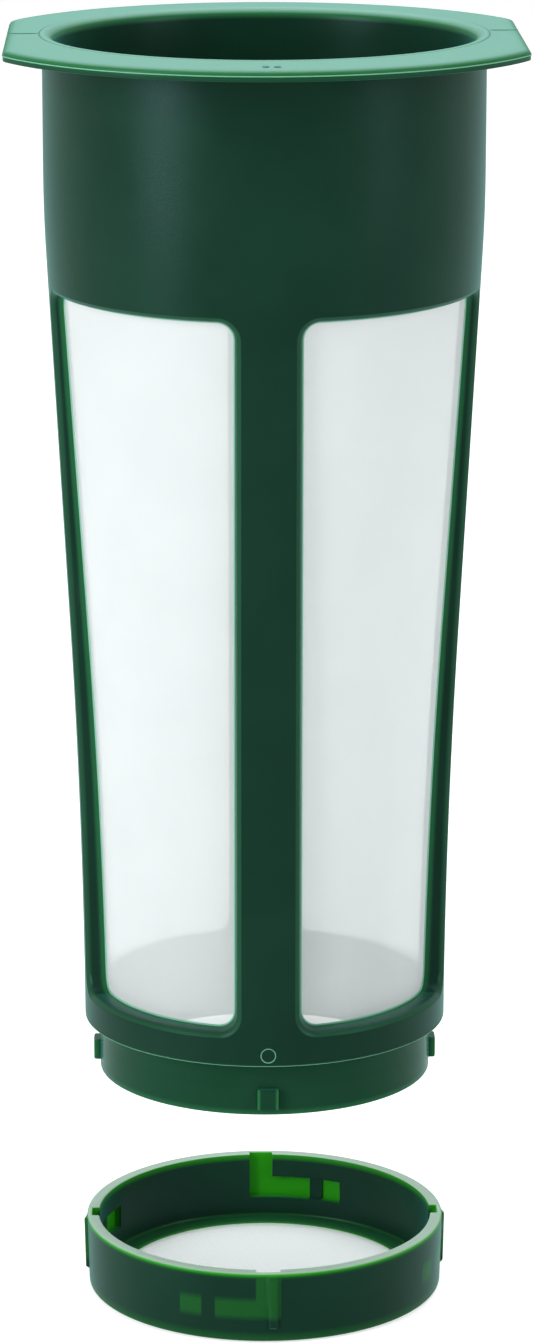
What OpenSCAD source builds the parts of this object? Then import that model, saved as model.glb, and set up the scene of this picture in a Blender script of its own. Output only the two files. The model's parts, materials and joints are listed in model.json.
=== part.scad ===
// Hanging cold brew strainer: a flanged plastic basket with four mesh windows
// and a bayonet bottom cap with a mesh floor, which hovers open below it.
// The origin is on the basket's axis, at the underside of the hanging flange.

/* [Flange] */
// Diameter of the hanging flange
flange_d = 94; // [90:0.1:100]
// Width of the flange across its two flats
flange_flat_w = 84; // [80:0.5:88]
// Thickness of the flange
flange_t = 1.95; // [1.8:0.05:2.4]
// Radius of the rounded inner lip of the mouth
lip_r = 1.9; // [1:0.1:1.9]
// Height of the lip above the flange
lip_h = 0.1; // [0.05:0.05:0.5]
// Width of the slope from the lip down to the flange
lip_slope_w = 0.6; // [0.4:0.1:2]

/* [Basket wall] */
// Outer diameter of the plain upper sleeve
sleeve_d = 72.3; // [70:0.1:75]
// Outer diameter of the basket's lower end
band_d = 61; // [60:0.1:64]
// Length of the straight sleeve below the flange
sleeve_len = 20; // [15:0.5:24]
// Length of the curve that leads into the taper
upper_curve_len = 14; // [10:1:25]
// Length of the straight taper
taper_len = 62; // [45:1:65]
// Length of the curve that leads out of the taper
lower_curve_len = 75; // [60:1:90]
// Distance from the flange down to the shoulder above the bayonet
shoulder_depth = 164.4; // [162:0.1:168]
// Thickness of the moulded wall at the flange
wall = 1.95; // [1.5:0.05:2.2]
// Thickness of the moulded wall at the shoulder
wall_foot = 3.55; // [2.5:0.05:4]

/* [Windows] */
// Depth of the windows' upper edge below the flange
window_top = 39.7; // [38:0.1:42]
// Depth of the windows' lower edge below the flange
window_bottom = 158.8; // [155:0.1:159]
// Width of the struts between the windows
strut_w = 10.6; // [8:0.1:12]
// Radius of the windows' corners
window_r = 3; // [2:0.1:4]
// Width of the recessed border round each window
border_w = 1.3; // [0.8:0.1:1.6]
// Depth of that border
border_t = 0.8; // [0.4:0.1:1.2]
// Thickness of the mesh panels
mesh_t = 0.4; // [0.3:0.05:0.6]

/* [Bayonet] */
// Outer diameter of the bayonet neck
neck_d = 56; // [55:0.1:56.4]
// Inner diameter of the bayonet neck
neck_bore_d = 51.8; // [50:0.1:52]
// Length of the neck below the shoulder
neck_len = 9.2; // [8:0.1:9.5]
// Width of a bayonet lug
lug_w = 3.35; // [3:0.05:3.5]
// Height of a bayonet lug
lug_h = 3.5; // [3:0.05:3.6]
// Play between a locked lug and the groove's upper side
lug_play = 0.1; // [0.05:0.05:0.2]
// Diameter over the lugs
lug_d = 58.2; // [58:0.1:58.3]

/* [Cap] */
// Outer diameter of the cap at its rim
cap_d = 61; // [60.8:0.1:61.4]
// Outer diameter of the cap at its underside
cap_foot_d = 60.4; // [60:0.1:61]
// Inner diameter of the cap's wall
cap_bore_d = 56.9; // [56.6:0.1:57.2]
// Height of the cap
cap_h = 12.3; // [12:0.1:14]
// Thickness of the cap's floor ring
floor_t = 0.8; // [0.7:0.1:1.5]
// Diameter of the mesh disc in the cap's floor
disc_d = 49.8; // [44:0.1:50.4]
// Gap between the hovering cap's rim and the shoulder
cap_drop = 36.2; // [20:0.1:50]
// Gap that is left between the closed cap and the shoulder
seat_gap = 0.2; // [0.1:0.05:0.3]

/* [Cap slots] */
// Diameter of the slots' back wall
slot_d = 59.3; // [59:0.1:59.5]
// Width of the entry channel
channel_w = 4.1; // [3.8:0.1:4.3]
// Height of the wall above the locking groove
keeper_h = 4.3; // [4.2:0.05:4.35]
// Height of the locking groove
groove_h = 3.8; // [3.7:0.05:4]
// Angle that the cap turns from entry to lock
lock_angle = 25.3; // [24:0.1:27]
// Width of the pocket that holds the lug when locked
pocket_w = 3.7; // [3.6:0.05:4]
// Width of the detent bump before the pocket
bump_w = 2.5; // [2:0.1:3]
// Diameter across the detent bumps
bump_d = 58.6; // [58.5:0.1:59]
// Width of the outer rib behind each channel
rib_w = 1.4; // [1:0.1:2]
// How far a rib stands out of the cap's wall
rib_t = 0.6; // [0.4:0.1:1]
// Distance from the cap's underside up to a rib
rib_foot = 2.6; // [2:0.1:4]

/* [Hidden] */
$fn = 96;
// Finer steps for the small pieces that sit on a round wall
fine_fn = 720;

body_green = "#1f4a3a";
cap_green = "#225c3c";
mesh_white = "#e4ecec";

// Heights, measured upwards from the flange's underside
shoulder_z = -shoulder_depth;
neck_end_z = shoulder_z - neck_len;
lug_top_z = shoulder_z - seat_gap - keeper_h - lug_play;
cap_rim_z = shoulder_z - cap_drop;
cap_foot_z = cap_rim_z - cap_h;
cap_floor_z = cap_foot_z + floor_t;
// The moulding is divided just beyond the windows' rounded corners
sleeve_end_z = -window_top - window_r - 0.9;
band_top_z = -window_bottom + window_r + 1.1;
ledge_t = 1.8;
neck_chamfer = 0.6;
rib_tip_w = 1;
rib_lead = 1.5;
disc_gap = 0.1;
disc_t = 0.5;
// Overlap of a cutting shape past the surface that it cuts
past = 1;
reach = flange_d;

// Outer radius of the basket at height z: straight, curved, tapered, curved and straight again
fall = (sleeve_d - band_d) / 2;
slope = fall / (upper_curve_len / 2 + taper_len + lower_curve_len / 2);
taper_start = sleeve_len + upper_curve_len;
taper_end = taper_start + taper_len;
curve_end = taper_end + lower_curve_len;
function wall_r(z) =
    -z <= sleeve_len ? sleeve_d / 2
    : -z <= taper_start ? sleeve_d / 2 - slope * pow(-z - sleeve_len, 2) / (2 * upper_curve_len)
    : -z <= taper_end ? sleeve_d / 2 - slope * (-z - sleeve_len - upper_curve_len / 2)
    : -z <= curve_end ? band_d / 2 + slope * pow(curve_end + z, 2) / (2 * lower_curve_len)
    : band_d / 2;
// Thickness of the wall at height z, which grows towards the foot as the mould's core narrows
function wall_t(z) = wall + (wall_foot - wall) * z / shoulder_z;

// Heights at which the wall's outline has a point, from the top down
upper_steps = 4;
lower_steps = 8;
outline_z = concat(
    [for (i = [0:upper_steps]) -sleeve_len - upper_curve_len * i / upper_steps],
    [for (i = [0:lower_steps]) -taper_end - lower_curve_len * i / lower_steps]
);
function span_z(top, bottom) =
    concat([top], [for (z = outline_z) if (z < top && z > bottom) z], [bottom]);
function reversed(list) = [for (i = [len(list) - 1:-1:0]) list[i]];

// Ring of the basket wall between two heights. Each side is a share of the way through the wall
// from its outer surface, less a fixed depth
module wall_ring(top, bottom, from_share = 0, from_depth = 0, to_share = 1, to_depth = 0) {
    zs = span_z(top, bottom);
    rotate_extrude()
        polygon(concat(
            [for (z = zs) [wall_r(z) - from_share * wall_t(z) - from_depth, z]],
            [for (z = reversed(zs)) [wall_r(z) - to_share * wall_t(z) - to_depth, z]]
        ));
}

// Part of a ring that starts at angle a0 and runs through turn, counterclockwise
module ring_sector(r0, r1, z0, z1, a0, turn) {
    rotate([0, 0, a0])
        rotate_extrude(angle = turn)
            translate([r0, z0]) square([r1 - r0, z1 - z0]);
}

// Outline of a window seen from one side, from the strut's edge outwards
module window_outline(grow) {
    x0 = strut_w / 2 - grow;
    r = window_r + grow;
    z0 = -window_bottom - grow;
    z1 = -window_top + grow;
    translate([x0 + r, z0]) square([reach - x0 - r, z1 - z0]);
    translate([x0, z0 + r]) square([reach - x0, z1 - z0 - 2 * r]);
    translate([x0 + r, z0 + r]) circle(r);
    translate([x0 + r, z1 - r]) circle(r);
}

// Cutter of the window between two struts, rounded as seen from both of them
module window_cutter(grow = 0) {
    intersection() {
        rotate([90, 0, 0]) translate([0, 0, -reach]) linear_extrude(reach) window_outline(grow);
        rotate([90, 0, 90]) linear_extrude(reach) window_outline(grow);
    }
}

module all_windows(grow = 0) {
    for (a = [0:90:270]) rotate([0, 0, a]) window_cutter(grow);
}

// Takes the four windows and their recessed borders out of a stretch of wall
module with_windows(top, bottom) {
    difference() {
        children();
        all_windows();
        intersection() {
            all_windows(border_w);
            wall_ring(top + past, bottom - past, from_depth = -past, to_share = 0, to_depth = border_t);
        }
    }
}

module rim_flange() {
    lip_steps = 6;
    bore_r = sleeve_d / 2 - wall;
    crest_r = bore_r + lip_r;
    crest_z = flange_t + lip_h;
    color(body_green)
        intersection() {
            rotate_extrude()
                polygon(concat(
                    [[flange_d / 2, 0], [flange_d / 2, flange_t], [crest_r + lip_slope_w, flange_t]],
                    [for (i = [0:lip_steps])
                        let (a = 90 - 90 * i / lip_steps)
                        [crest_r - lip_r * cos(a), crest_z - lip_r + lip_r * sin(a)]],
                    [[bore_r, 0]]
                ));
            translate([-flange_flat_w / 2, -flange_d, -past])
                cube([flange_flat_w, 2 * flange_d, crest_z + 2 * past]);
        }
}

module upper_sleeve() {
    color(body_green)
        with_windows(sleeve_end_z + window_r + 2, sleeve_end_z)
            wall_ring(0, sleeve_end_z);
}

module strut(angle) {
    color(body_green)
        with_windows(sleeve_end_z, band_top_z)
            intersection() {
                wall_ring(sleeve_end_z, band_top_z);
                rotate([0, 0, angle])
                    translate([0, -strut_w, band_top_z - past])
                        cube([reach, 2 * strut_w, sleeve_end_z - band_top_z + 2 * past]);
            }
}

// Lower end of the basket, with the flat shoulder that carries the neck
module lower_band() {
    zs = span_z(band_top_z, shoulder_z);
    inner_zs = span_z(band_top_z, shoulder_z + ledge_t);
    color(body_green)
        with_windows(band_top_z, band_top_z - window_r - 2)
            rotate_extrude()
                polygon(concat(
                    [for (z = zs) [wall_r(z), z]],
                    [[neck_bore_d / 2, shoulder_z], [neck_bore_d / 2, shoulder_z + ledge_t]],
                    [for (z = reversed(inner_zs)) [wall_r(z) - wall_t(z), z]]
                ));
}

module bayonet_neck() {
    color(cap_green)
        rotate_extrude()
            polygon([
                [neck_bore_d / 2, shoulder_z],
                [neck_bore_d / 2, neck_end_z],
                [neck_d / 2 - neck_chamfer, neck_end_z],
                [neck_d / 2, neck_end_z + neck_chamfer],
                [neck_d / 2, shoulder_z]
            ]);
}

module lug(angle) {
    color(cap_green)
        rotate([0, 0, angle])
            difference() {
                translate([0, -lug_w / 2, lug_top_z - lug_h]) cube([reach, lug_w, lug_h]);
                translate([0, 0, neck_end_z - past])
                    cylinder(h = neck_len + 2 * past, d = neck_d, $fn = fine_fn);
                ring_sector(lug_d / 2, 2 * reach, neck_end_z - past, shoulder_z, -20, 40, $fn = fine_fn);
            }
}

// Mesh panel that fills one window, flush with the inside of the wall
module mesh_panel(angle) {
    color(mesh_white)
        rotate([0, 0, angle])
            intersection() {
                wall_ring(-window_top + past, -window_bottom - past, from_share = 1, from_depth = -mesh_t);
                window_cutter();
            }
}

// Angle that a width spans on the slots' back wall
function slot_angle(width) = width / (slot_d / 2) * 180 / PI;

// Wedge of a disc that starts at angle a0 and runs through turn, under a quarter turn
module wedge(z0, z1, a0, turn) {
    translate([0, 0, z0])
        linear_extrude(z1 - z0)
            polygon([[0, 0], reach * [cos(a0), sin(a0)], reach * [cos(a0 + turn), sin(a0 + turn)]]);
}

// Takes a round of the given diameter out of wedges, down to the slots' back wall
module slot_round(d) {
    intersection() {
        translate([0, 0, cap_foot_z]) cylinder(h = cap_h + past, d = d);
        children();
    }
}

// L-shaped slot that lets a lug in at the rim and holds it after the twist
module bayonet_slot() {
    groove_top_z = cap_rim_z - keeper_h;
    groove_z = groove_top_z - groove_h;
    entry = slot_angle(channel_w);
    pocket = slot_angle(pocket_w);
    bump = slot_angle(bump_w);
    pocket_end = -lock_angle + pocket / 2;
    slot_round(slot_d) {
        wedge(groove_z, cap_rim_z + past, -entry / 2, entry);
        wedge(groove_z, groove_top_z, pocket_end + bump, -pocket_end - bump);
        wedge(groove_z, groove_top_z, pocket_end - pocket, pocket);
    }
    // shallower stretch over the detent bump
    slot_round(bump_d)
        wedge(groove_z, groove_top_z, -lock_angle, lock_angle);
}

module cap_skirt() {
    rim_r = cap_d / 2;
    floor_r = rim_r - (cap_d - cap_foot_d) / 2 * (cap_rim_z - cap_floor_z) / cap_h;
    color(cap_green)
        difference() {
            rotate_extrude()
                polygon([
                    [cap_bore_d / 2, cap_floor_z],
                    [floor_r, cap_floor_z],
                    [rim_r, cap_rim_z],
                    [cap_bore_d / 2, cap_rim_z]
                ]);
            for (a = [0:90:270]) rotate([0, 0, a]) bayonet_slot();
        }
}

module cap_floor() {
    floor_r = cap_foot_d / 2 + (cap_d - cap_foot_d) / 2 * floor_t / cap_h;
    color(cap_green)
        rotate_extrude()
            polygon([
                [disc_d / 2 + disc_gap, cap_foot_z],
                [cap_foot_d / 2, cap_foot_z],
                [floor_r, cap_floor_z],
                [disc_d / 2 + disc_gap, cap_floor_z]
            ]);
}

// Outer rib that backs the thin wall of an entry channel, narrower and lower towards its foot
module cap_rib(angle) {
    foot_z = cap_foot_z + rib_foot;
    color(cap_green)
        rotate([0, 0, angle + rib_lead])
            difference() {
                rotate([90, 0, 90])
                    linear_extrude(cap_d / 2 + rib_t)
                        polygon([
                            [-rib_tip_w / 2, foot_z],
                            [rib_tip_w / 2, foot_z],
                            [rib_w / 2, cap_rim_z],
                            [-rib_w / 2, cap_rim_z]
                        ]);
                rotate_extrude($fn = fine_fn)
                    polygon([
                        [0, cap_foot_z],
                        [cap_foot_d / 2, cap_foot_z],
                        [cap_d / 2, cap_rim_z],
                        [cap_d / 2, cap_rim_z + past],
                        [0, cap_rim_z + past]
                    ]);
            }
}

// Mesh disc of the cap's floor, with a running gap round it
module cap_mesh() {
    color(mesh_white)
        translate([0, 0, cap_foot_z + (floor_t - disc_t) / 2])
            cylinder(h = disc_t, d = disc_d);
}

rim_flange();
upper_sleeve();
strut(270);  // strut_front
strut(0);  // strut_right
strut(90);  // strut_back
strut(180);  // strut_left
lower_band();
bayonet_neck();
lug(270);  // lug_front
lug(0);  // lug_right
lug(90);  // lug_back
lug(180);  // lug_left
mesh_panel(270);  // mesh_front_right
mesh_panel(0);  // mesh_back_right
mesh_panel(90);  // mesh_back_left
mesh_panel(180);  // mesh_front_left
cap_skirt();
cap_floor();
cap_rib(270);  // cap_rib_front
cap_rib(0);  // cap_rib_right
cap_rib(90);  // cap_rib_back
cap_rib(180);  // cap_rib_left
cap_mesh();
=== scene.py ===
import json
import math

import bmesh
import bpy
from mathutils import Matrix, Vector


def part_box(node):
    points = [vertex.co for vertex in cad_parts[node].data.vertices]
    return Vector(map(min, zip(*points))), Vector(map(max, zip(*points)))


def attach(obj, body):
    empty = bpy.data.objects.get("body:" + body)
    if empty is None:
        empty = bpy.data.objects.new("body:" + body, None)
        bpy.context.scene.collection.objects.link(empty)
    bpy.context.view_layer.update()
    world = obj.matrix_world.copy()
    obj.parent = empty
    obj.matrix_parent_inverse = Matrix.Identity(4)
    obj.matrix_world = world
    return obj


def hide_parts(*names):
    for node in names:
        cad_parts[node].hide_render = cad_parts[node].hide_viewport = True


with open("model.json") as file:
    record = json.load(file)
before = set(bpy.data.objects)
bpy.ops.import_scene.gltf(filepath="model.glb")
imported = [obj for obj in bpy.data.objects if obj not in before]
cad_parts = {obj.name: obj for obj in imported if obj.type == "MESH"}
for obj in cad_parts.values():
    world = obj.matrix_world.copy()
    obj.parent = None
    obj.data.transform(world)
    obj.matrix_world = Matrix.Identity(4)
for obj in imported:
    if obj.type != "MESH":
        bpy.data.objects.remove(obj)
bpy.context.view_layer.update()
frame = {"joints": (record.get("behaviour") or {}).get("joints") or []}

MM = 0.001


# ---------------------------------------------------------------- sizes from the frame

def low(node):
    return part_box(node)[0]


def high(node):
    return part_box(node)[1]


FLANGE_R = high("rim_flange")[1]
FLAT_X = high("rim_flange")[0]
FLANGE_TOP = high("rim_flange")[2]
SLEEVE_R = high("upper_sleeve")[0]
WINDOW_TOP = high("mesh_front_right")[2]
WINDOW_FOOT = low("mesh_front_right")[2]
STRUT_HALF = high("strut_front")[0]
SHOULDER_Z = low("lower_band")[2]
NECK_R = high("bayonet_neck")[0]
NECK_END = low("bayonet_neck")[2]
LUG_TOP = high("lug_front")[2]
LUG_FOOT = low("lug_front")[2]
LUG_HALF = high("lug_front")[0]
LUG_R = -low("lug_front")[1]
CAP_R = high("cap_skirt")[0]
CAP_RIM = high("cap_skirt")[2]
CAP_FLOOR = low("cap_skirt")[2]
CAP_FOOT = low("cap_floor")[2]
DISC_R = high("cap_mesh")[0]
DISC_Z = high("cap_mesh")[2] - 0.08 * MM
LOCK_ANGLE = max(j["range_deg"][1] for j in frame["joints"] if j["name"] == "cap_twist")

# Details that the frame's boxes don't give
BAND_R = 30.5 * MM
FLANGE_FACE = 1.95 * MM
LIP_SLOPE_W = 0.6 * MM
LIP_R = 1.9 * MM
WALL = 1.95 * MM
WALL_FOOT = 3.55 * MM
SLEEVE_LEN = 20 * MM
UPPER_CURVE = 14 * MM
TAPER = 62 * MM
LOWER_CURVE = 75 * MM
WINDOW_R = 3 * MM
NECK_BORE_R = 25.9 * MM
LEDGE = 1.8 * MM
CAP_FOOT_R = 30.2 * MM
CAP_BORE_R = 28.45 * MM
SLOT_R = 29.65 * MM
BUMP_R = 29.3 * MM
CHANNEL_W = 4.1 * MM
KEEPER_H = 4.3 * MM
GROOVE_H = 3.8 * MM
POCKET_W = 3.7 * MM
BUMP_W = 2.5 * MM
RIB_T = 0.55 * MM
RIB_W = 1.4 * MM
RIB_TIP_W = 1.0 * MM
RIB_LEAD = 1.5
RIB_FOOT = 2.6 * MM
# Parting lines on the flange's ends: (side, how far back)
PARTING_Y = ((-1, 0.0), (1, 3.0 * MM))
# Pin marks on the flange's front, and the gate mark above the shoulder
PIN_X = (-0.65 * MM, 1.15 * MM)
PIN_Y = -42.3 * MM
GATE_R = 1.2 * MM
GATE_WIRE = 0.10 * MM
GATE_UP = 1.9 * MM
FLOOR_SIZE = 6.0
FLOOR_GAP = 0.2 * MM

# Quads round a quarter turn, and up a strut
ACROSS = 96
UP = 46


# ---------------------------------------------------------------- camera and stage

CAMERA_DISTANCE = 0.8100
CAMERA_HEIGHT = 0.0996
CAMERA_ASIDE = 0.00034
CAMERA_PITCH = math.radians(14.18)
CAMERA_TURN = math.radians(1.2)
LENS = 133.55
SENSOR = 36.0


def make_camera():
    data = bpy.data.cameras.new("camera")
    data.sensor_fit = "VERTICAL"
    data.sensor_height = SENSOR
    data.lens = LENS
    camera = bpy.data.objects.new("camera", data)
    bpy.context.scene.collection.objects.link(camera)
    camera.location = (
        CAMERA_ASIDE * math.cos(CAMERA_TURN) - CAMERA_DISTANCE * math.sin(CAMERA_TURN),
        -CAMERA_ASIDE * math.sin(CAMERA_TURN) - CAMERA_DISTANCE * math.cos(CAMERA_TURN),
        CAMERA_HEIGHT,
    )
    camera.rotation_euler = (math.pi / 2 - CAMERA_PITCH, 0, -CAMERA_TURN)
    bpy.context.scene.camera = camera


# ---------------------------------------------------------------- mesh building

class Shell:
    """Collects quads by rows of points, and a painted light level at each point.

    It runs from 0, the plastic's deep colour, over 1, a painted glow where thin plastic would let
    light through, to 2, a painted mint highlight and reflection.
    """

    def __init__(self):
        self.points = []
        self.thin = []
        self.faces = []

    def row(self, points, thin=0.0):
        start = len(self.points)
        self.points.extend(points)
        values = thin if isinstance(thin, list) else [thin] * len(points)
        self.thin.extend(values)
        return list(range(start, start + len(points)))

    def join(self, a, b, closed=True):
        count = len(a)
        for i in range(count if closed else count - 1):
            j = (i + 1) % count
            self.faces.append((a[i], a[j], b[j], b[i]))

    def rows(self, rows, closed=True):
        """Joins a list of (points, thin) rows, each to the next."""
        made = [self.row(points, thin) for points, thin in rows]
        for a, b in zip(made, made[1:]):
            self.join(a, b, closed)
        return made

    def build(self, name, sharp_angle=32):
        mesh = bpy.data.meshes.new(name)
        mesh.from_pydata([tuple(p) for p in self.points], [], self.faces)
        # the painted light level of each point, which the plastic's colour reads
        layer = mesh.attributes.new("thin", "FLOAT", "POINT")
        layer.data.foreach_set("value", self.thin)
        work = bmesh.new()
        work.from_mesh(mesh)
        bmesh.ops.remove_doubles(work, verts=work.verts, dist=1e-7)
        bmesh.ops.dissolve_degenerate(work, edges=work.edges, dist=1e-8)
        bmesh.ops.recalc_face_normals(work, faces=work.faces)
        for face in work.faces:
            face.smooth = True
        work.to_mesh(mesh)
        work.free()
        mesh.set_sharp_from_angle(angle=math.radians(sharp_angle))
        piece = bpy.data.objects.new(name, mesh)
        bpy.context.scene.collection.objects.link(piece)
        return piece


def polar(radius, angle, z):
    return Vector((radius * math.cos(angle), radius * math.sin(angle), z))


def mix(a, b, t):
    return a + (b - a) * t


def wall_r(z):
    """Outer radius of the basket: straight, curved, tapered, curved and straight again."""
    slope = (SLEEVE_R - BAND_R) / (UPPER_CURVE / 2 + TAPER + LOWER_CURVE / 2)
    down = -z - SLEEVE_LEN
    if down <= 0:
        return SLEEVE_R
    if down <= UPPER_CURVE:
        return SLEEVE_R - slope * down ** 2 / (2 * UPPER_CURVE)
    if down <= UPPER_CURVE + TAPER:
        return SLEEVE_R - slope * (down - UPPER_CURVE / 2)
    left = UPPER_CURVE + TAPER + LOWER_CURVE - down
    return BAND_R + (slope * left ** 2 / (2 * LOWER_CURVE) if left > 0 else 0)


def wall_t(z):
    """Thickness of the wall, which grows towards the foot."""
    return WALL + (WALL_FOOT - WALL) * z / SHOULDER_Z


# ---------------------------------------------------------------- basket moulding

# The window's edge, from the wall's outer face in to the mesh: (distance out from the window in
# mm, share of the way through the wall, further depth in mm, painted light level). The rounded
# outer edge has a faint painted highlight, the thin lip at the mesh a painted glow and mint line.
EDGE = [
    (1.02, 0, 0.0, 0.0), (0.93, 0, 0.0, 0.0), (0.86, 0, 0.04, 0.10), (0.78, 0, 0.11, 0.20),
    (0.58, 0, 0.24, 0.20), (0.36, 0, 0.42, 0.15), (0.20, 0, 0.66, 0.10), (0.12, 0, 0.90, 0.0),
    (0.08, 0.55, 0.0, 0.0), (0.06, 1, -1.25, 0.1), (0.04, 1, -0.85, 0.55), (0.02, 1, -0.50, 0.7),
    (0.0, 1, -0.38, 0.9), (-0.08, 1, -0.33, 1.5), (-0.24, 1, -0.30, 1.9), (-0.30, 1, -0.24, 2.0),
    (-0.28, 1, -0.06, 1.2), (-0.20, 1, 0.0, 0.6), (0.0, 1, 0.0, 0.2),
]
CORNER_UP = 5
CORNER_ACROSS = 10
FIELD_RINGS = 6
FIELD_TOP = WINDOW_TOP + 5 * MM
FIELD_FOOT = WINDOW_FOOT - 2.6 * MM


def corner(index, steps, start):
    """Angle on a corner's arc, which turns by an eighth of a circle in the given steps."""
    return math.radians(start - 45 * index / steps)


def window_loop(out, share, depth):
    """Points round a window as (angle from the strut's middle, height), clockwise from its foot."""
    radius = WINDOW_R + out
    reach = STRUT_HALF + WINDOW_R
    high_z = WINDOW_TOP - WINDOW_R
    low_z = WINDOW_FOOT + WINDOW_R

    def place(lateral, z):
        return math.asin(lateral / (wall_r(z) - share * wall_t(z) - depth)), z

    side = []
    for i in range(CORNER_UP):
        a = corner(i, CORNER_UP, 225)
        side.append(place(reach + radius * math.cos(a), low_z + radius * math.sin(a)))
    straight = UP - 2 * CORNER_UP
    for i in range(straight + 1):
        side.append(place(reach - radius, mix(low_z, high_z, i / straight)))
    for i in range(1, CORNER_UP):
        a = corner(i, CORNER_UP, 180)
        side.append(place(reach + radius * math.cos(a), high_z + radius * math.sin(a)))

    def edge(centre_z, up):
        row = []
        for i in range(CORNER_ACROSS):
            a = corner(i, CORNER_ACROSS, 135)
            row.append(place(reach + radius * math.cos(a), centre_z + up * radius * math.sin(a)))
        z = centre_z + up * radius
        first = place(reach, z)[0]
        span = ACROSS - 2 * CORNER_ACROSS
        middle = [(mix(first, math.pi / 2 - first, i / span), z) for i in range(span + 1)]
        back = [(math.pi / 2 - a, h) for a, h in reversed(row)]
        return row + middle + back[:-1]

    top = edge(high_z, 1)
    foot = edge(low_z, -1)
    other = [(math.pi / 2 - a, z) for a, z in reversed(side)]
    # each list leaves out its last point, which starts the next one
    right_end = (math.pi / 2 - top[0][0], top[0][1])
    foot_end = (math.pi / 2 - foot[0][0], foot[0][1])
    return side + top + [right_end] + other[:-1] + [foot_end] + list(reversed(foot))[:-1]


def field_loop():
    """The rectangle round a window, from strut middle to strut middle, matched to window_loop."""
    high_z = WINDOW_TOP - WINDOW_R
    low_z = WINDOW_FOOT + WINDOW_R
    straight = UP - 2 * CORNER_UP
    heights = [mix(FIELD_FOOT, low_z, i / CORNER_UP) for i in range(CORNER_UP)]
    heights += [mix(low_z, high_z, i / straight) for i in range(straight + 1)]
    heights += [mix(high_z, FIELD_TOP, i / CORNER_UP) for i in range(1, CORNER_UP)]
    quarter = math.pi / 2
    side = [(0.0, z) for z in heights]
    top = [(quarter * i / ACROSS, FIELD_TOP) for i in range(ACROSS)]
    other = [(quarter, z) for z in [FIELD_TOP] + heights[:0:-1]]
    foot = [(quarter * i / ACROSS, FIELD_FOOT) for i in range(ACROSS, 0, -1)]
    return side + top + other + foot


def window_field(shell, turn):
    """The wall round one window, outside and inside, and the window's edge."""
    def points(loop, share, depth):
        return [polar(wall_r(z) - share * wall_t(z) - depth, turn + a, z) for a, z in loop]

    outline = field_loop()
    sides = []
    for share, out in ((0, EDGE[0][0]), (1, EDGE[-1][0])):
        hole = window_loop(out * MM, share, 0.0)
        rings = []
        for k in range(FIELD_RINGS):
            t = (k / FIELD_RINGS) ** 0.8
            loop = [(mix(o[0], h[0], t), mix(o[1], h[1], t)) for o, h in zip(outline, hole)]
            rings.append((points(loop, share, 0.0), 0.0))
        sides.append(rings)
    edge = []
    for out, share, depth, thin in EDGE:
        loop = window_loop(out * MM, share, depth * MM)
        edge.append((points(loop, share, depth * MM), thin))
    shell.rows(sides[0] + edge + list(reversed(sides[1])))


def round_angles():
    return [math.pi / 2 * i / ACROSS for i in range(4 * ACROSS)]


def ring(radius, z):
    return [polar(radius, a, z) for a in round_angles()]


FLANGE_CORNER = 4.0 * MM
FLANGE_ROUND = 1.2 * MM
# How much lower the flange's face is at its edge than at the lip
FLANGE_FALL = 0.25 * MM
# Profile of the flange's side, up from its foot: (inset in mm, height in mm, painted light level)
# the mint rows are a painted highlight on the fine moulding line
FLANGE_SIDE = [
    (0.14, 0.05, 0.1), (0.10, 0.14, 0.1), (0.10, 0.74, 0.2), (0.02, 0.79, 1.3), (0.0, 0.84, 1.7),
    (0.0, 0.92, 1.7), (0.02, 0.96, 1.3), (0.10, 1.0, 0.5),
]
# Painted light on the lip, from its crest round to the bore: a painted mint highlight on the crest that
# fades to the deep colour
LIP_PAINTED_LIGHT = (1.95, 1.95, 1.9, 1.85, 1.75, 1.55, 1.25, 0.8, 0.4, 0.15, 0.0)


def flange_outline(angle, inset):
    """Distance from the axis to the flange's edge: a circle with two flats and rounded corners."""
    circle = FLANGE_R - inset
    flat = FLAT_X - inset
    side = abs(math.cos(angle))
    if side < 1e-6:
        return circle
    # the corner's circle touches the flat and the big circle from inside
    cx = flat - FLANGE_CORNER
    cy = math.sqrt((circle - FLANGE_CORNER) ** 2 - cx ** 2)
    at = abs(math.atan2(math.sin(angle), side))
    flat_end = math.atan2(cy, flat)
    round_start = math.atan2(cy, cx)
    if at <= flat_end:
        return flat / side
    if at >= round_start:
        return circle
    along = cx * math.cos(at) + cy * math.sin(at)
    across = cx ** 2 + cy ** 2 - FLANGE_CORNER ** 2
    return along + math.sqrt(max(along ** 2 - across, 0))


def flange_ring(inset, z):
    return [polar(flange_outline(a, inset), a, z) for a in round_angles()]


def blend_ring(radius, inset, t, z):
    """A ring part of the way from a circle to the flange's outline."""
    return [polar(mix(radius, flange_outline(a, inset), t), a, z) for a in round_angles()]


def arc(cr, cz, radius, start, end, steps):
    """Points (radius from the axis, height) on an arc of a profile, angles in degrees."""
    angles = [math.radians(mix(start, end, i / steps)) for i in range(steps + 1)]
    return [(cr + radius * math.cos(a), cz + radius * math.sin(a)) for a in angles]


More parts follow.
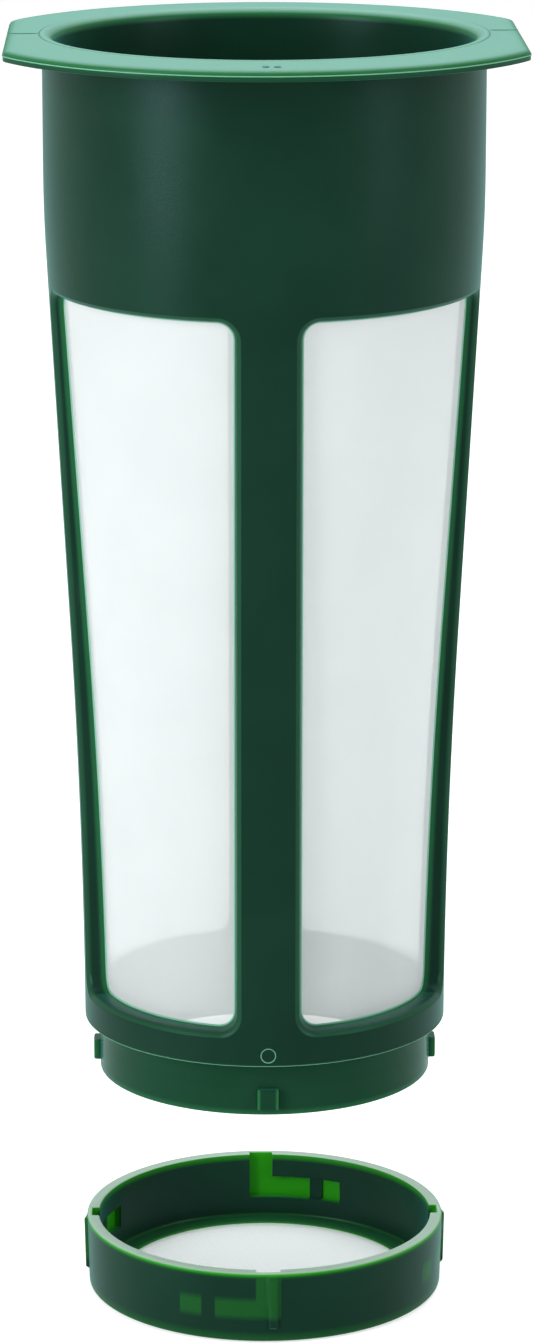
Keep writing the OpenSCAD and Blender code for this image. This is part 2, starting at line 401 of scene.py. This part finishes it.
def basket_top(shell):
    """Sleeve, hanging flange, rounded mouth and bore, from the windows up and back down."""
    rows = []
    for i in range(13):
        z = mix(FIELD_TOP, -0.7 * MM, i / 12)
        rows.append((ring(wall_r(z), z), 0.0))
    root = 0.6 * MM
    for r, z in arc(SLEEVE_R + root, -root, root, 180, 90, 5)[1:]:
        rows.append((ring(r, z), 0.0))
    edge = 0.22 * MM
    start = SLEEVE_R + root
    # a faint painted glow where the sleeve turns out into the flange
    for t in (0.3, 0.6, 0.85, 1.0):
        rows.append((blend_ring(start, edge, t, 0.0), 0.25))
    # lower edge and a fine moulding line, the line with a painted mint highlight
    for inset, z, thin in FLANGE_SIDE:
        rows.append((flange_ring(inset * MM, z * MM), thin))
    # rounded upper edge, and the face that rises to the lip, painted mint: painted reflection and light
    # let through
    edge_top = FLANGE_FACE - FLANGE_FALL
    for i in range(1, 9):
        a = math.radians(90 * i / 8)
        inset = 0.10 * MM + FLANGE_ROUND * (1 - math.cos(a))
        z = mix(1.0 * MM, edge_top, math.sin(a))
        rows.append((flange_ring(inset, z), mix(0.6, 1.8, i / 8)))
    bore = SLEEVE_R - WALL
    crest = bore + LIP_R
    for t in (0.8, 0.5, 0.2, 0.0):
        z = mix(FLANGE_FACE, edge_top, t)
        rows.append((blend_ring(crest + LIP_SLOPE_W, 0.10 * MM + FLANGE_ROUND, t, z), 1.9))
    # a fine crease where the lip starts, painted less mint than the face round it: painted shade in the
    # crease
    for out, up, thin in ((0.9, -0.45, 1.2), (0.8, -0.45, 1.1), (0.7, 0.2, 1.7), (0.35, 0.8, 1.9)):
        rows.append((ring(crest + LIP_SLOPE_W * out, mix(FLANGE_FACE, FLANGE_TOP, up)), thin))
    roll = arc(crest, FLANGE_TOP - LIP_R, LIP_R, 90, 180, len(LIP_PAINTED_LIGHT) - 1)
    for (r, z), thin in zip(roll, LIP_PAINTED_LIGHT):
        rows.append((ring(r, z), thin))
    for i in range(1, 13):
        z = mix(FLANGE_TOP - LIP_R, FIELD_TOP, i / 12)
        rows.append((ring(wall_r(z) - wall_t(z), z), 0.0))
    shell.rows(rows)


def neck_angles():
    """Angles drawn to the lugs' edges near each strut's middle."""
    lug = math.degrees(math.asin(LUG_HALF / NECK_R))
    near = [0, lug * 0.33, lug * 0.66, lug - 0.22, lug, lug + 0.05]
    near += [mix(lug + 0.05, 90 * 10 / ACROSS, i / 5) for i in range(1, 5)]
    half = near + [90 * i / ACROSS for i in range(10, ACROSS // 2)]
    quarter = half + [45.0] + [90 - a for a in reversed(half[1:])]
    return [math.radians(90 * q + a) for q in range(4) for a in quarter]


LUG_LINES = 4


def neck_row(z, radius, lug_rise, thin, edge=None):
    """A ring of the neck, raised by lug_rise at the lugs, and the painted light of its points: dark
    lug faces, and a painted highlight on the lugs' side edges where edge is given.
    """
    points = []
    values = []
    for i, a in enumerate(neck_angles()):
        off = min(i % ACROSS, ACROSS - i % ACROSS)
        rise = lug_rise if off < LUG_LINES else lug_rise * 0.86 if off == LUG_LINES else 0.0
        points.append(polar(radius + rise, a, z))
        on_edge = edge is not None and off in (LUG_LINES - 1, LUG_LINES)
        values.append(edge if on_edge else 0.05 if lug_rise > 0 and off < LUG_LINES else thin)
    return points, values


def basket_foot(shell):
    """Band, shoulder, bayonet neck with its lugs, and the ledge inside."""
    rows = []
    for i in range(4):
        z = mix(FIELD_FOOT, SHOULDER_Z + 0.3 * MM, i / 3)
        rows.append((ring(wall_r(z), z), 0.0))
    # fine moulding line along the shoulder's edge, its outer rows with a painted mint highlight
    for inset, up in ((0.07, 0.24), (0.07, 0.14), (0.0, 0.10), (0.0, 0.02), (0.1, 0.0)):
        rows.append((ring(BAND_R - inset * MM, SHOULDER_Z + up * MM), 1.5 if inset == 0 else 0.1))
    root = 0.35 * MM
    rows.append((ring(mix(NECK_R + root, BAND_R, 0.5), SHOULDER_Z), 0.1))
    for r, z in arc(NECK_R + root, SHOULDER_Z - root, root, 90, 180, 4):
        rows.append(neck_row(z, r, 0.0, 0.1))
    rise = LUG_R - NECK_R
    rows.append(neck_row(LUG_TOP, NECK_R, 0.0, 0.08))
    height = LUG_TOP - LUG_FOOT
    # the lugs, with a painted highlight along their side edges
    for down, share in ((0.02, 0.88), (0.22, 1.0), (1.2, 1.0), (2.3, 1.0)):
        rows.append(neck_row(LUG_TOP - down * MM, NECK_R, rise * share, 0.09, 0.9))
    for up, share in ((0.25, 1.0), (0.03, 0.85), (0.0, 0.0)):
        rows.append(neck_row(LUG_TOP - height + up * MM, NECK_R, rise * share, 0.09, 0.9))
    rows.append(neck_row(LUG_FOOT - 0.04 * MM, NECK_R, 0.0, 0.1))
    # the neck's end and the bore up to the ledge are painted brighter: painted glow of light let
    # through
    round_off = 0.16 * MM
    for r, z in arc(NECK_R - round_off, NECK_END + round_off, round_off, 0, -90, 4):
        rows.append(neck_row(z, r, 0.0, 0.5))
    inner_round = 0.4 * MM
    for r, z in arc(NECK_BORE_R + inner_round, NECK_END + inner_round, inner_round, -90, -180, 4):
        rows.append(neck_row(z, r, 0.0, 0.6))
    ledge_top = SHOULDER_Z + LEDGE
    for i in range(1, 5):
        z = mix(NECK_END + inner_round, ledge_top - 0.3 * MM, i / 4)
        rows.append(neck_row(z, NECK_BORE_R, 0.0, mix(0.6, 0.2, i / 4)))
    for r, z in arc(NECK_BORE_R + 0.3 * MM, ledge_top - 0.3 * MM, 0.3 * MM, 180, 90, 3)[1:]:
        rows.append((ring(r, z), 0.1))
    fillet = 0.6 * MM
    inner = BAND_R - wall_t(ledge_top)
    for r, z in arc(inner - fillet, ledge_top + fillet, fillet, -90, 0, 4):
        rows.append((ring(r, z), 0.0))
    rows.append((ring(wall_r(FIELD_FOOT) - wall_t(FIELD_FOOT), FIELD_FOOT), 0.0))
    shell.rows(rows)


def gate_mark(shell):
    """A fine raised circle on the front of the band: a mark that a mould's pin leaves."""
    middle = SHOULDER_Z + GATE_UP
    made = []
    for k in range(8):
        b = 2 * math.pi * k / 8
        points = []
        for i in range(48):
            a = 2 * math.pi * i / 48
            r = GATE_R + GATE_WIRE * math.cos(b)
            out = BAND_R + GATE_WIRE * 0.5 * math.sin(b)
            along = -math.pi / 2 + r * math.cos(a) / BAND_R
            points.append(polar(out, along, middle + r * math.sin(a)))
        # the ring is painted mint: a painted highlight on the raised mark
        made.append(shell.row(points, 1.5))
    for a, b in zip(made, made[1:] + made[:1]):
        shell.join(a, b)


def bead(shell, start, end, wide, tall, thin, sections=6):
    """A low raised line or dot on a flat top, half sunk in it, with rounded ends."""
    along = end - start
    side = along.cross(Vector((0, 0, 1))).normalized()
    rows = []
    for i in range(sections + 1):
        size = math.sqrt(max(1 - (2 * i / sections - 1) ** 4, 0))
        at = start + along * (i / sections)
        ring_angles = [2 * math.pi * k / 12 for k in range(12)]
        points = [at + side * (wide * size * math.cos(b)) for b in ring_angles]
        lifts = [Vector((0, 0, tall * size * math.sin(b))) for b in ring_angles]
        rows.append(([p + lift for p, lift in zip(points, lifts)], thin))
    shell.rows(rows)


def flange_marks(shell):
    """The mould's parting lines across the flange's ends, and two pin marks at the front."""
    inner = SLEEVE_R - WALL + LIP_R + LIP_SLOPE_W
    # the marks carry less of the face's painted mint, so they show darker
    for side, y in PARTING_Y:
        start = Vector((side * (FLAT_X - 0.4 * MM), y, FLANGE_FACE))
        end = Vector((side * inner, y, FLANGE_FACE))
        bead(shell, start, end, 0.07 * MM, 0.05 * MM, 0.5, 16)
    for x in PIN_X:
        middle = Vector((x, PIN_Y, FLANGE_FACE - 0.5 * FLANGE_FALL))
        half = Vector((0, 0.9 * MM, 0))
        bead(shell, middle - half, middle + half, 0.55 * MM, 0.05 * MM, 0.1, 8)


def make_basket():
    shell = Shell()
    flange_marks(shell)
    for q in range(4):
        window_field(shell, q * math.pi / 2)
    basket_top(shell)
    basket_foot(shell)
    gate_mark(shell)
    return shell.build("basket_moulding")


# ---------------------------------------------------------------- cap moulding

def cap_lines():
    """Lines down the cap over a quarter turn from a channel's middle, as (inner angle, kind)."""
    def span(width):
        return math.degrees(width / SLOT_R)

    entry = span(CHANNEL_W) / 2
    pocket = span(POCKET_W) / 2
    bump = span(BUMP_W)
    pocket_end = -LOCK_ANGLE + pocket
    pocket_start = -LOCK_ANGLE - pocket
    leg_start = pocket_end + bump
    gap = 0.22
    lines = []

    def fill(a, b, kind, count):
        for i in range(count + 1):
            lines.append((mix(a, b, i / count), kind))

    fill(-45, pocket_start - gap, "wall", 16)
    fill(pocket_start, pocket_end, "pocket", 8)
    fill(pocket_end + gap, leg_start - gap, "bump", 6)
    fill(leg_start, -entry, "leg", 12)
    fill(-entry + gap, entry, "channel", 10)
    fill(entry + gap, 44.4, "wall", 42)
    return lines


def cap_inner(kind, zone):
    """Inner radius of the cap's wall, which is larger in the slots."""
    if zone == "keeper" and kind == "channel":
        return SLOT_R
    if zone == "groove" and kind in ("channel", "leg", "pocket"):
        return SLOT_R
    if zone == "groove" and kind == "bump":
        return BUMP_R
    return CAP_BORE_R


def make_cap():
    shell = Shell()
    lines = [(q * 90 + a, kind) for q in range(4) for a, kind in cap_lines()]
    rim_out = 0.40 * MM
    rim_in = 0.30 * MM
    foot_round = 0.7 * MM

    def cap_r(z):
        return mix(CAP_FOOT_R, CAP_R, (z - CAP_FOOT) / (CAP_RIM - CAP_FOOT))

    def outer(z, rise):
        """A ring of the outer wall, raised by rise at the four ribs."""
        t = (z - CAP_FOOT) / (CAP_RIM - CAP_FOOT)
        half = math.degrees(mix(RIB_TIP_W, RIB_W, t) / 2 / CAP_R)
        points = []
        for angle, kind in lines:
            at = (angle + 45) % 90 - 45 - RIB_LEAD
            share = min(max((half + 0.35 - abs(at)) / 0.35, 0), 1)
            share = share * share * (3 - 2 * share)
            points.append(polar(cap_r(z) + rise * share, math.radians(angle), z))
        return points

    def inner(z, zone, less=0.0):
        return [polar(cap_inner(kind, zone) + less, math.radians(a), z) for a, kind in lines]

    def circle(radius, z):
        return [polar(radius, math.radians(a), z) for a, kind in lines]

    # painted glow where the slots leave the wall thin: most in the slots, base elsewhere
    def thinness(zone, base=0.0, most=1.0):
        deep = {"keeper": ("channel",), "groove": ("channel", "leg", "pocket")}.get(zone, ())
        return [most if kind in deep else base for a, kind in lines]

    groove_top = CAP_RIM - KEEPER_H
    groove_foot = groove_top - GROOVE_H

    rows = []
    hole = DISC_R
    # underside, outer wall, rim, inner wall, floor and disc edge, with painted glow and rim highlight
    rows.append((circle(hole, CAP_FOOT + 0.2 * MM), 0.5))
    rows.append((circle(hole + 0.2 * MM, CAP_FOOT), 0.4))
    rows.append((circle(mix(hole, CAP_FOOT_R, 0.5), CAP_FOOT), 0.2))
    for r, z in arc(CAP_FOOT_R - foot_round, CAP_FOOT + foot_round, foot_round, -90, 0, 6):
        rows.append((circle(r, z), 0.1))
    foot = CAP_FOOT + RIB_FOOT
    rows.append((outer(mix(CAP_FOOT + foot_round, foot, 0.6), 0.0), 0.0))
    rows.append((outer(foot - 0.25 * MM, 0.0), 0.0))
    for i in range(9):
        z = mix(foot + 0.15 * MM, CAP_RIM - 1.1 * MM, i / 8)
        zone = "keeper" if z > groove_top else "groove" if z > groove_foot else "below"
        rows.append((outer(z, RIB_T), thinness(zone, 0.0, 0.13)))
    rows.append((outer(CAP_RIM - 0.75 * MM, RIB_T * 0.45), 0.1))
    # the rim is painted mint: a painted highlight
    for r, z in arc(0, CAP_RIM - rim_out, rim_out, 0, 90, 5):
        edge = cap_r(CAP_RIM) - rim_out + r
        rows.append((circle(edge, z), mix(0.6, 1.8, (z - CAP_RIM + rim_out) / rim_out)))
    for k in range(5):
        a = math.radians(90 - 90 * k / 4)
        z = CAP_RIM - rim_in + rim_in * math.sin(a)
        edge = inner(z, "keeper", rim_in * (1 - math.cos(a)))
        rows.append((edge, 1.8 if k < 3 else thinness("keeper", 0.6)))
    step = 0.10 * MM
    for i in range(1, 5):
        z = mix(CAP_RIM - rim_in, groove_top + step, i / 4)
        rows.append((inner(z, "keeper"), thinness("keeper")))
    for i in range(6):
        z = mix(groove_top, groove_foot, i / 5)
        rows.append((inner(z, "groove"), thinness("groove")))
    floor_round = 0.5 * MM
    for i in range(4):
        z = mix(groove_foot - step, CAP_FLOOR + floor_round, i / 3)
        rows.append((inner(z, "below"), 0.0))
    for r, z in arc(CAP_BORE_R - floor_round, CAP_FLOOR + floor_round, floor_round, 0, -90, 4)[1:]:
        rows.append((circle(r, z), 0.1))
    rows.append((circle(mix(CAP_BORE_R, hole, 0.6), CAP_FLOOR), 0.12))
    rows.append((circle(hole + 0.35 * MM, CAP_FLOOR), 0.2))
    rows.append((circle(hole, CAP_FLOOR - 0.25 * MM), 0.6))
    made = shell.rows(rows)
    shell.join(made[-1], made[0])
    return shell.build("cap_moulding")


# ---------------------------------------------------------------- woven meshes

MESH_BITE = 0.7 * MM
MESH_LIFT = 0.15 * MM


def make_panel(name, turn):
    """A woven panel that fills a window, its edges held inside the moulded wall."""
    shell = Shell()
    count_up = 90
    count_across = 56
    rows = []
    for i in range(count_up + 1):
        z = mix(WINDOW_FOOT - MESH_BITE, WINDOW_TOP + MESH_BITE, i / count_up)
        radius = wall_r(z) - wall_t(z) + MESH_LIFT
        first = math.asin((STRUT_HALF - MESH_BITE) / radius)
        row = []
        for j in range(count_across + 1):
            a = mix(first, math.pi / 2 - first, j / count_across)
            row.append(polar(radius, turn + a, z))
        rows.append((row, 0.0))
    shell.rows(rows, closed=False)
    piece = shell.build(name)
    middle = (WINDOW_TOP + WINDOW_FOOT) / 2
    radius = wall_r(middle) - wall_t(middle) + MESH_LIFT
    sweep = math.pi / 2 - 2 * math.asin((STRUT_HALF - MESH_BITE) / radius)
    size = (radius * sweep, WINDOW_TOP - WINDOW_FOOT + 2 * MESH_BITE)
    return piece, size


def make_disc():
    """The woven disc of the cap's floor."""
    shell = Shell()
    radius = DISC_R
    rings = 24
    count = 96
    rows = []
    for k in range(rings, 0, -1):
        r = radius * k / rings
        points = [polar(r, 2 * math.pi * i / count, DISC_Z) for i in range(count)]
        rows.append((points, 0.0))
    made = shell.rows(rows)
    centre = shell.row([Vector((0, 0, DISC_Z))], 0.0)[0]
    last = made[-1]
    for i in range(count):
        shell.faces.append((last[i], last[(i + 1) % count], centre))
    return shell.build("bottom_mesh")


# ---------------------------------------------------------------- materials

class Nodes:
    """A material's nodes, made one line at a time."""

    def __init__(self, name):
        self.material = bpy.data.materials.new(name)
        self.material.use_nodes = True
        self.tree = self.material.node_tree
        self.tree.nodes.clear()
        self.out = self.new("ShaderNodeOutputMaterial")

    def new(self, kind, **settings):
        node = self.tree.nodes.new(kind)
        for key, value in settings.items():
            setattr(node, key, value)
        return node

    def link(self, a, b):
        self.tree.links.new(a, b)

    def value(self, socket, value):
        if isinstance(value, bpy.types.NodeSocket):
            self.link(value, socket)
        else:
            socket.default_value = value

    def math(self, kind, a, b=0.0, c=0.0):
        node = self.new("ShaderNodeMath", operation=kind)
        for socket, value in zip(node.inputs, (a, b, c)):
            self.value(socket, value)
        return node.outputs[0]

    def noise(self, vector, scale, detail=2.0):
        node = self.new("ShaderNodeTexNoise")
        self.link(vector, node.inputs["Vector"])
        node.inputs["Scale"].default_value = scale
        node.inputs["Detail"].default_value = detail
        return node.outputs["Fac"]

    def blend(self, factor, a, b):
        node = self.new("ShaderNodeMix", data_type="RGBA")
        self.value(node.inputs["Factor"], factor)
        self.value(node.inputs["A"], a)
        self.value(node.inputs["B"], b)
        return node.outputs["Result"]

    def ramp(self, factor, low, high):
        """Maps a value from the range low to high onto 0 to 1."""
        node = self.new("ShaderNodeMapRange")
        self.value(node.inputs["Value"], factor)
        node.inputs["From Min"].default_value = low
        node.inputs["From Max"].default_value = high
        return node.outputs["Result"]


def plastic(name, deep, bright, highlight_colour, rough, polish):
    """Moulded plastic: deep green, with a painted glow (bright) where thin plastic would let light
    through, and a painted mint highlight and reflection at edges and on the flange.

    The roughness is rough, less polish on the neck.
    """
    n = Nodes(name)
    place = n.new("ShaderNodeTexCoord").outputs["Object"]
    thin = n.new("ShaderNodeAttribute", attribute_name="thin").outputs["Fac"]
    cloud = n.noise(place, 60.0, 3.0)
    grain = n.noise(place, 2600.0, 2.0)
    shades = [[*[c * share for c in deep], 1] for share in (0.9, 1.12)]
    varied = n.blend(n.ramp(cloud, 0.3, 0.7), *shades)
    # painted glow over 0 to 1 of the painted light level, painted mint highlight and reflection over 1
    # to 2
    glowing = n.ramp(thin, 0.0, 1.0)
    highlight_share = n.ramp(thin, 1.0, 2.0)
    colour = n.blend(highlight_share, n.blend(glowing, varied, (*bright, 1)), (*highlight_colour, 1))
    shader = n.new("ShaderNodeBsdfPrincipled")
    n.link(colour, shader.inputs["Base Color"])
    # the neck is smoother than the rest
    height = n.new("ShaderNodeSeparateXYZ")
    n.link(place, height.inputs[0])
    polished = n.ramp(height.outputs["Z"], SHOULDER_Z, SHOULDER_Z - 0.2 * MM)
    dull = n.math("MULTIPLY_ADD", polished, -polish, rough - 0.05)
    n.link(n.math("MULTIPLY_ADD", cloud, 0.10, dull), shader.inputs["Roughness"])
    shader.inputs["IOR"].default_value = 1.46
    shader.inputs["Specular IOR Level"].default_value = 0.2
    shader.inputs["Specular Tint"].default_value = (0.48, 0.84, 0.9, 1)
    shader.inputs["Sheen Weight"].default_value = 0.30
    shader.inputs["Sheen Roughness"].default_value = 0.35
    shader.inputs["Sheen Tint"].default_value = (0.2, 1.0, 0.88, 1)
    bump = n.new("ShaderNodeBump")
    bump.inputs["Strength"].default_value = 0.35
    bump.inputs["Distance"].default_value = 0.00004
    n.link(grain, bump.inputs["Height"])
    n.link(bump.outputs["Normal"], shader.inputs["Normal"])
    # a translucent layer, more of it and brighter where the painted glow is
    glow = n.new("ShaderNodeBsdfTranslucent")
    n.link(n.blend(glowing, (0.02, 0.09, 0.03, 1), (0.12, 0.55, 0.09, 1)), glow.inputs["Color"])
    mixed = n.new("ShaderNodeMixShader")
    n.link(n.math("MULTIPLY_ADD", glowing, 0.4, 0.06), mixed.inputs["Fac"])
    n.link(shader.outputs[0], mixed.inputs[1])
    n.link(glow.outputs[0], mixed.inputs[2])
    n.link(mixed.outputs[0], n.out.inputs["Surface"])
    return n.material


def woven(name, pitch, curved, openness, contrast, white):
    """Plain-woven white mesh: crossing threads, and gaps that let light and sight through.

    pitch is the distance between threads; curved weaves round the basket; openness is the share
    that is clear; contrast is how far the threads stand out, and how dark the painted shade in the
    gaps is; white dims the thread's colour.
    """
    n = Nodes(name)
    place = n.new("ShaderNodeTexCoord").outputs["Object"]
    axes = n.new("ShaderNodeSeparateXYZ")
    n.link(place, axes.inputs[0])
    x, y, z = axes.outputs
    if curved:
        angle = n.math("ARCTAN2", y, x)
        u = n.math("MULTIPLY", angle, SLEEVE_R / pitch)
        v = n.math("MULTIPLY", z, 1 / pitch)
    else:
        # the disc is cut with its threads at an angle to the cap
        along, across = 0.94, 0.34
        right = n.math("ADD", n.math("MULTIPLY", x, along), n.math("MULTIPLY", y, across))
        back = n.math("SUBTRACT", n.math("MULTIPLY", y, along), n.math("MULTIPLY", x, across))
        u = n.math("MULTIPLY", right, 1 / pitch)
        v = n.math("MULTIPLY", back, 1 / pitch)

    def thread(value):
        """0 at a gap's middle to 1 at a thread's middle."""
        return n.math("ABSOLUTE", n.math("SINE", n.math("MULTIPLY", value, math.pi)))

    cross = n.math("MAXIMUM", thread(u), thread(v))
    solid = n.ramp(cross, 0.35, 0.75 + 0.25 * contrast)
    cloud = n.noise(place, 90.0, 2.0)
    shader = n.new("ShaderNodeBsdfPrincipled")
    threads = ((0.78, 0.83, 0.845), (0.85, 0.88, 0.895))
    shades = [[*[c * white for c in shade], 1] for shade in threads]
    tone = n.blend(n.ramp(cloud, 0.25, 0.75), *shades)
    # the gaps between threads are painted a darker grey-blue: painted shade between the threads
    gap_tone = n.blend(n.math("SUBTRACT", 1.0, solid), tone, (0.48, 0.56, 0.58, 1))
    n.link(n.blend(contrast, tone, gap_tone), shader.inputs["Base Color"])
    shader.inputs["Roughness"].default_value = 0.55
    shader.inputs["Specular IOR Level"].default_value = 0.3
    shader.inputs["Sheen Weight"].default_value = 0.2
    bump = n.new("ShaderNodeBump")
    bump.inputs["Strength"].default_value = 0.5 * contrast
    bump.inputs["Distance"].default_value = 0.00006
    n.link(cross, bump.inputs["Height"])
    n.link(bump.outputs["Normal"], shader.inputs["Normal"])
    through = n.new("ShaderNodeBsdfTranslucent")
    through.inputs["Color"].default_value = (0.86, 0.92, 0.91, 1)
    cloth = n.new("ShaderNodeMixShader")
    cloth.inputs["Fac"].default_value = 0.42
    n.link(shader.outputs[0], cloth.inputs[1])
    n.link(through.outputs[0], cloth.inputs[2])
    clear = n.new("ShaderNodeBsdfTransparent")
    mixed = n.new("ShaderNodeMixShader")
    gap = n.math("MULTIPLY_ADD", n.math("SUBTRACT", 1.0, solid), 0.25 * contrast, openness)
    n.link(gap, mixed.inputs["Fac"])
    n.link(cloth.outputs[0], mixed.inputs[1])
    n.link(clear.outputs[0], mixed.inputs[2])
    n.link(mixed.outputs[0], n.out.inputs["Surface"])
    return n.material


def plain(name, colour, rough, glow):
    """A dull surface in one colour, with a white glow of its own."""
    n = Nodes(name)
    shader = n.new("ShaderNodeBsdfPrincipled")
    shader.inputs["Emission Color"].default_value = (1, 1, 1, 1)
    shader.inputs["Emission Strength"].default_value = glow
    shader.inputs["Base Color"].default_value = (*colour, 1)
    shader.inputs["Roughness"].default_value = rough
    shader.inputs["Specular IOR Level"].default_value = 0.0
    n.link(shader.outputs[0], n.out.inputs["Surface"])
    return n.material


def dress(piece, material):
    piece.data.materials.clear()
    piece.data.materials.append(material)


# ---------------------------------------------------------------- light and floor

def make_floor():
    mesh = bpy.data.meshes.new("floor")
    size = FLOOR_SIZE
    corners = [(-size, -size), (size, -size), (size, size), (-size, size)]
    mesh.from_pydata([(x, y, CAP_FOOT - FLOOR_GAP) for x, y in corners], [], [(0, 1, 2, 3)])
    floor = bpy.data.objects.new("floor", mesh)
    bpy.context.scene.collection.objects.link(floor)
    mesh.materials.append(plain("pale_floor", (0.6, 0.6, 0.6), 0.9, 0.62))
    floor.visible_glossy = False


def area_light(name, place, target, size, power):
    data = bpy.data.lights.new(name, "AREA")
    data.shape = "RECTANGLE"
    data.size, data.size_y = size
    data.energy = power
    light = bpy.data.objects.new(name, data)
    bpy.context.scene.collection.objects.link(light)
    light.location = place
    aim = Vector(target) - Vector(place)
    light.rotation_euler = aim.to_track_quat("-Z", "Y").to_euler()


# Brightness of the studio in front of the object and behind it
FRONT_LIGHT = 0.25
BACK_LIGHT = 0.62


def make_world():
    """A white studio: bright behind and above, and dimmer in front, where the camera stands."""
    world = bpy.data.worlds.new("studio")
    world.use_nodes = True
    tree = world.node_tree
    background = tree.nodes["Background"]
    place = tree.nodes.new("ShaderNodeTexCoord")
    axes = tree.nodes.new("ShaderNodeSeparateXYZ")
    tree.links.new(place.outputs["Generated"], axes.inputs[0])
    fade = tree.nodes.new("ShaderNodeMapRange")
    fade.interpolation_type = "SMOOTHSTEP"
    tree.links.new(axes.outputs["Y"], fade.inputs["Value"])
    fade.inputs["From Min"].default_value = -0.9
    fade.inputs["From Max"].default_value = 0.3
    fade.inputs["To Min"].default_value = FRONT_LIGHT
    fade.inputs["To Max"].default_value = BACK_LIGHT
    tree.links.new(fade.outputs["Result"], background.inputs["Strength"])
    background.inputs["Color"].default_value = (1.0, 1.0, 1.0, 1)
    bpy.context.scene.world = world


def make_light():
    make_world()
    middle = (0, 0, -0.1)
    area_light("key_left", (-0.95, -0.69, 0.26), middle, (0.38, 0.98), 15)
    area_light("fill_right", (1.02, -0.57, 0.32), middle, (0.3, 0.86), 6.5)
    area_light("top_soft", (0.1, 0.5, 1.1), middle, (1.2, 1.2), 12)


# ---------------------------------------------------------------- the scene

def make_scene():
    make_camera()
    deep = (0.0048, 0.0275, 0.0142)
    rough = 0.36
    # after the deep colour: the painted glow colour, then the painted mint highlight and reflection
    # colour
    basket_plastic = plastic("basket_plastic", deep, (0.03, 0.19, 0.07), (0.38, 0.76, 0.63), rough, 0.2)
    cap_plastic = plastic("cap_plastic", deep, (0.03, 0.42, 0.004), (0.82, 0.96, 0.91), rough, 0.0)
    basket = make_basket()
    dress(basket, basket_plastic)
    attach(basket, "basket")
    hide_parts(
        "rim_flange", "upper_sleeve", "strut_front", "strut_right", "strut_back", "strut_left",
        "lower_band", "bayonet_neck", "lug_front", "lug_right", "lug_back", "lug_left",
    )
    cap = make_cap()
    dress(cap, cap_plastic)
    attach(cap, "cap")
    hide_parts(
        "cap_skirt", "cap_floor", "cap_rib_front", "cap_rib_right", "cap_rib_back", "cap_rib_left",
    )
    panel_cloth = woven("panel_weave", 0.16 * MM, True, 0.19, 0.2, 0.82)
    for name, turn in (("back_right", 0), ("back_left", 90), ("front_left", 180), ("front_right", 270)):
        panel, size = make_panel("panel_" + name, math.radians(turn))
        dress(panel, panel_cloth)
        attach(panel, "basket")
        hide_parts("mesh_" + name)
    disc = make_disc()
    dress(disc, woven("disc_weave", 0.5 * MM, False, 0.08, 1.0, 0.74))
    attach(disc, "cap_screen")
    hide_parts("cap_mesh")
    make_floor()
    make_light()
    scene = bpy.context.scene
    scene.view_settings.view_transform = "Standard"
    scene.view_settings.look = "None"


make_scene()
